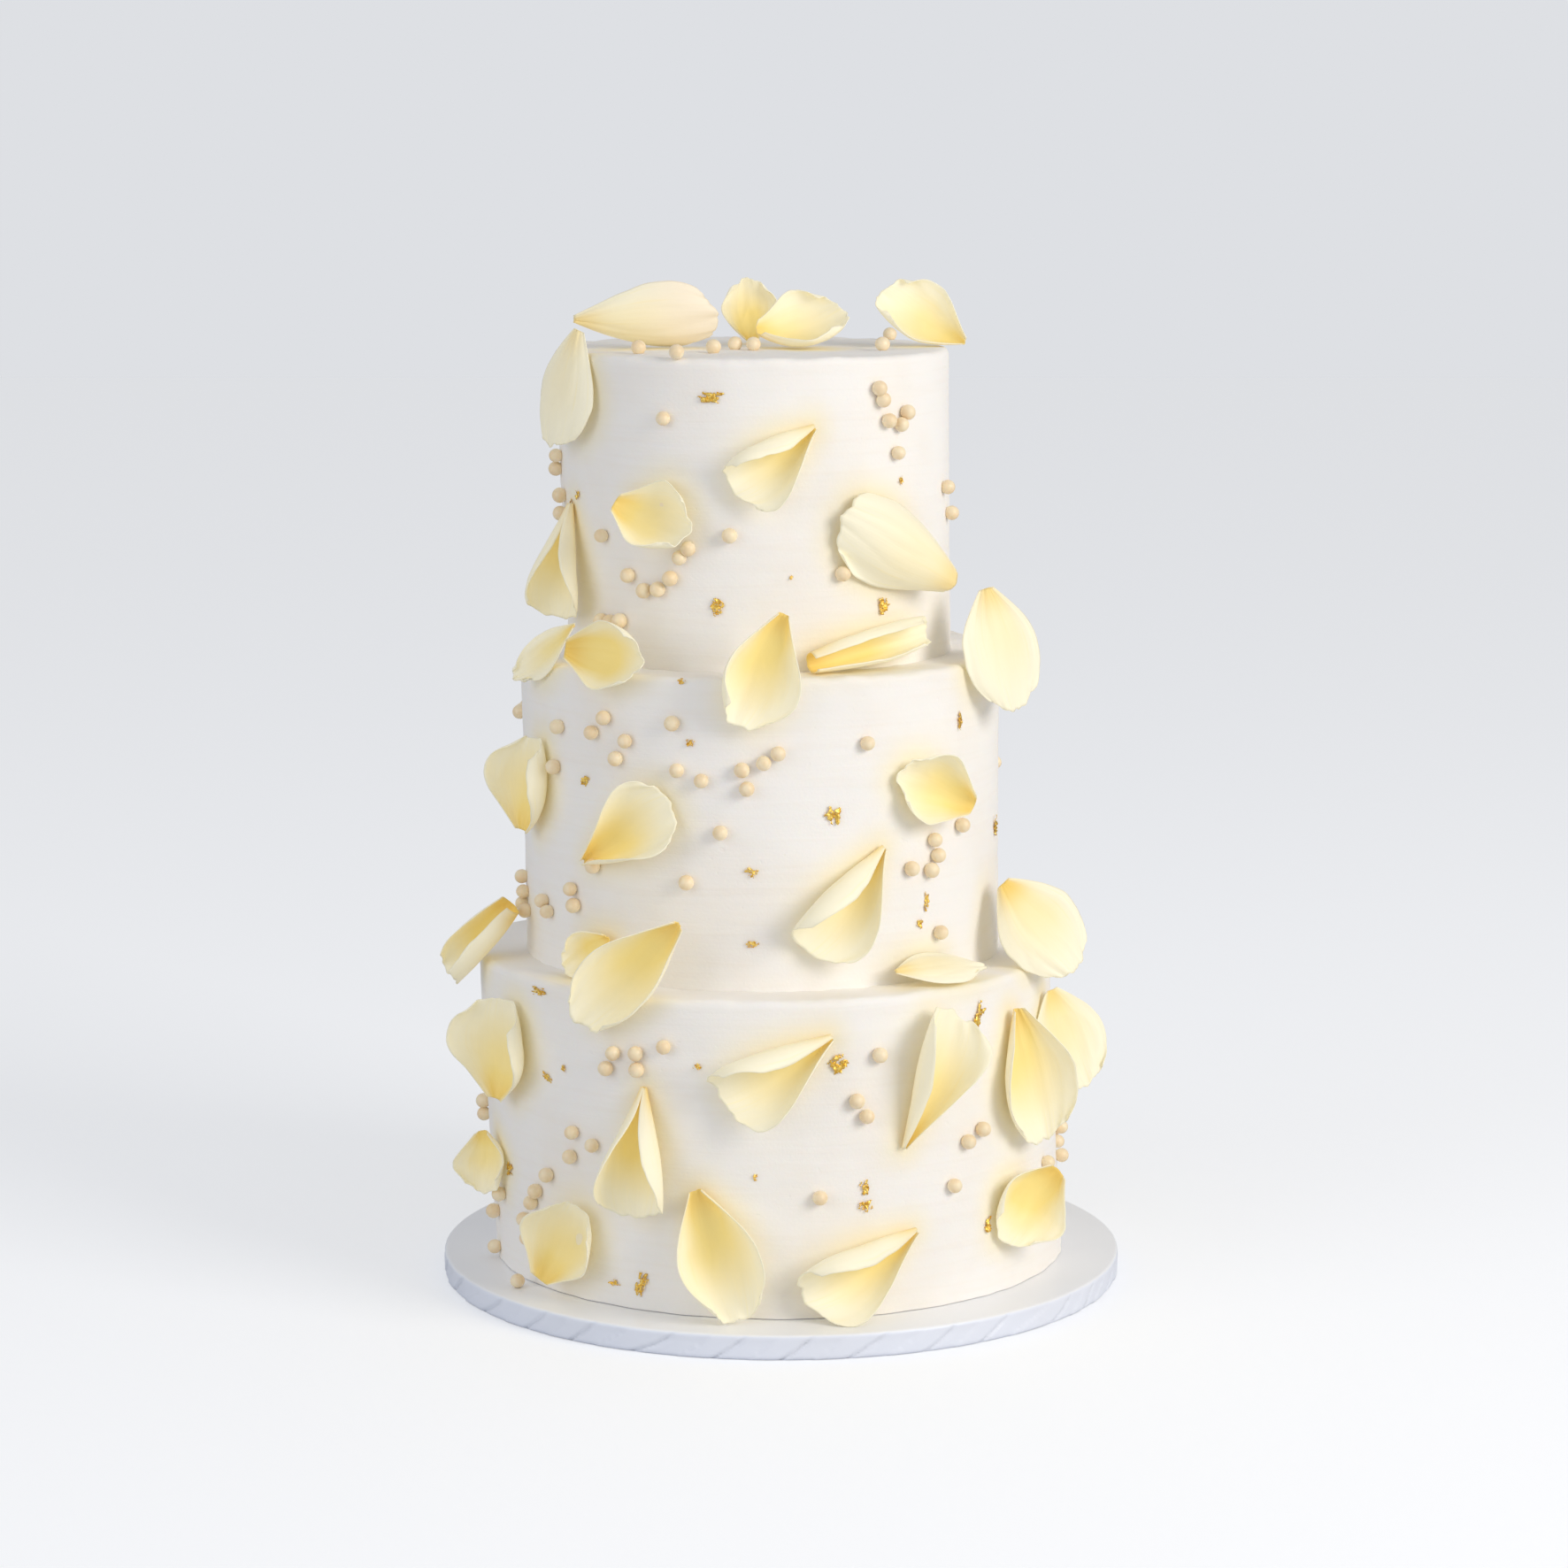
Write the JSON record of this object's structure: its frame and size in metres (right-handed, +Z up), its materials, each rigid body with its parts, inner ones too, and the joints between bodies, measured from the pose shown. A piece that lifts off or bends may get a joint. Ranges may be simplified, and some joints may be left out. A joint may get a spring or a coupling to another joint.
{
  "type": "tiered wedding cake",
  "caption": "Tall round tiered wedding cake in pale buttercream on its drum board, dressed all over with curled cream rose petals.",
  "frame": {"origin": "middle of the board's underside, at the centre of its round outline", "axes": "+Z up along the cake's height, -Y towards the cake's front, +X to the front's right"},
  "size_m": [0.305, 0.305, 0.4453],
  "materials": {
    "board_covering": "smooth white cake-board foil, satin, pleated round the edge",
    "buttercream": "creamy white buttercream, matt, smoothed by scraper",
    "petal": "fresh cream-yellow rose petal, soft satin, slightly translucent"
  },
  "bodies": {
    "root": {"board": "board_covering", "petal_bottom_rim_1": "petal", "petal_bottom_rim_2": "petal", "petal_bottom_rim_3": "petal", "petal_bottom_rim_4": "petal", "petal_bottom_rim_5": "petal", "petal_bottom_rim_6": "petal", "petal_bottom_rim_7": "petal", "petal_bottom_rim_8": "petal", "petal_bottom_wall_1": "petal", "petal_bottom_wall_10": "petal", "petal_bottom_wall_11": "petal", "petal_bottom_wall_12": "petal", "petal_bottom_wall_13": "petal", "petal_bottom_wall_14": "petal", "petal_bottom_wall_15": "petal", "petal_bottom_wall_16": "petal", "petal_bottom_wall_17": "petal", "petal_bottom_wall_18": "petal", "petal_bottom_wall_19": "petal", "petal_bottom_wall_2": "petal", "petal_bottom_wall_3": "petal", "petal_bottom_wall_4": "petal", "petal_bottom_wall_5": "petal", "petal_bottom_wall_6": "petal", "petal_bottom_wall_7": "petal", "petal_bottom_wall_8": "petal", "petal_bottom_wall_9": "petal", "petal_middle_rim_1": "petal", "petal_middle_rim_2": "petal", "petal_middle_rim_3": "petal", "petal_middle_rim_4": "petal", "petal_middle_rim_5": "petal", "petal_middle_rim_6": "petal", "petal_middle_rim_7": "petal", "petal_middle_rim_8": "petal", "petal_middle_wall_1": "petal", "petal_middle_wall_2": "petal", "petal_middle_wall_3": "petal", "petal_middle_wall_4": "petal", "petal_middle_wall_5": "petal", "petal_middle_wall_6": "petal", "petal_middle_wall_7": "petal", "petal_top_crown_1": "petal", "petal_top_crown_2": "petal", "petal_top_crown_3": "petal", "petal_top_crown_4": "petal", "petal_top_wall_1": "petal", "petal_top_wall_2": "petal", "petal_top_wall_3": "petal", "petal_top_wall_4": "petal", "petal_top_wall_5": "petal", "petal_top_wall_6": "petal", "petal_top_wall_7": "petal", "petal_top_wall_8": "petal", "tier_bottom": "buttercream", "tier_middle": "buttercream", "tier_top": "buttercream"}
  },
  "joints": []
}
